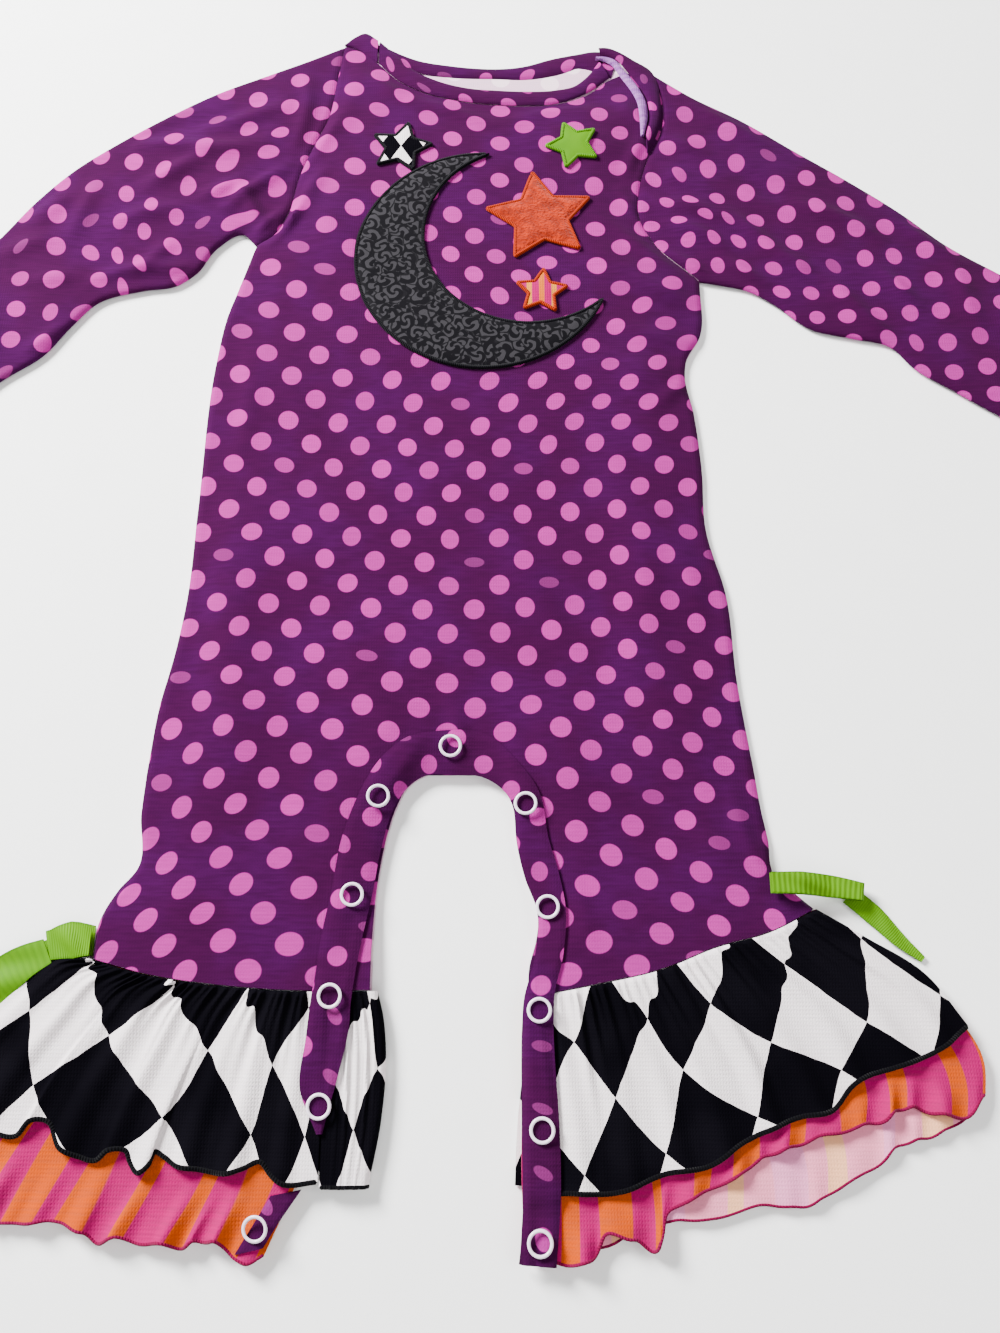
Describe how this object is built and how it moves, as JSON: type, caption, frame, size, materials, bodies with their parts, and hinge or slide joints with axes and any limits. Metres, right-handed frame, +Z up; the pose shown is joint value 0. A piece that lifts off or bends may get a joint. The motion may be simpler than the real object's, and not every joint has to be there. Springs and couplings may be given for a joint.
{
  "type": "child's long-sleeved romper with ruffled legs",
  "caption": "Long-sleeved child's romper with a lap neck, snap inseam, flared ruffled legs, side bows and a chest applique, laid flat.",
  "frame": {"origin": "on the surface the garment lies on, under the middle of the body's back", "axes": "+Z up from the surface, +Y toward the neck, +X to the viewer's right"},
  "size_m": [0.578, 0.5813, 0.0111],
  "materials": {
    "dot_jersey": "purple cotton jersey printed with pink dots",
    "jersey_wrong_side": "pale lavender wrong side of the jersey",
    "harlequin_cloth": "black and white diamond-printed cotton knit",
    "stripe_cloth": "orange and magenta striped cotton knit",
    "lime_ribbon": "bright lime knit, matt",
    "black_damask": "black scrolled cloth with a soft sheen",
    "orange_plush": "short orange plush",
    "snap_ring": "pinkish white lacquered ring"
  },
  "bodies": {
    "root": {"front_body": "dot_jersey", "back_body": "dot_jersey", "sleeve_left": "dot_jersey", "sleeve_right": "dot_jersey", "neck_band_front": "dot_jersey", "neck_band_back": "dot_jersey", "shoulder_lap_left": "dot_jersey", "shoulder_lap_right": "dot_jersey", "lap_edge_right": "jersey_wrong_side", "placket": "dot_jersey", "placket_end_left": "dot_jersey", "harlequin_front_left": "harlequin_cloth", "harlequin_back_left": "harlequin_cloth", "harlequin_front_right": "harlequin_cloth", "harlequin_back_right": "harlequin_cloth", "stripe_front_left": "stripe_cloth", "stripe_back_left": "stripe_cloth", "stripe_front_right": "stripe_cloth", "stripe_back_right": "stripe_cloth", "bow_left_loop": "lime_ribbon", "bow_left_tail": "lime_ribbon", "bow_right_loop": "lime_ribbon", "bow_right_tail": "lime_ribbon", "moon_damask": "black_damask", "star_orange": "orange_plush", "star_harlequin": "harlequin_cloth", "star_lime": "lime_ribbon", "star_striped": "stripe_cloth", "snap_ring_01": "snap_ring", "snap_ring_02": "snap_ring", "snap_ring_03": "snap_ring", "snap_ring_04": "snap_ring", "snap_ring_05": "snap_ring", "snap_ring_06": "snap_ring", "snap_ring_07": "snap_ring", "snap_ring_08": "snap_ring", "snap_ring_09": "snap_ring", "snap_ring_10": "snap_ring", "snap_ring_11": "snap_ring"}
  },
  "joints": []
}
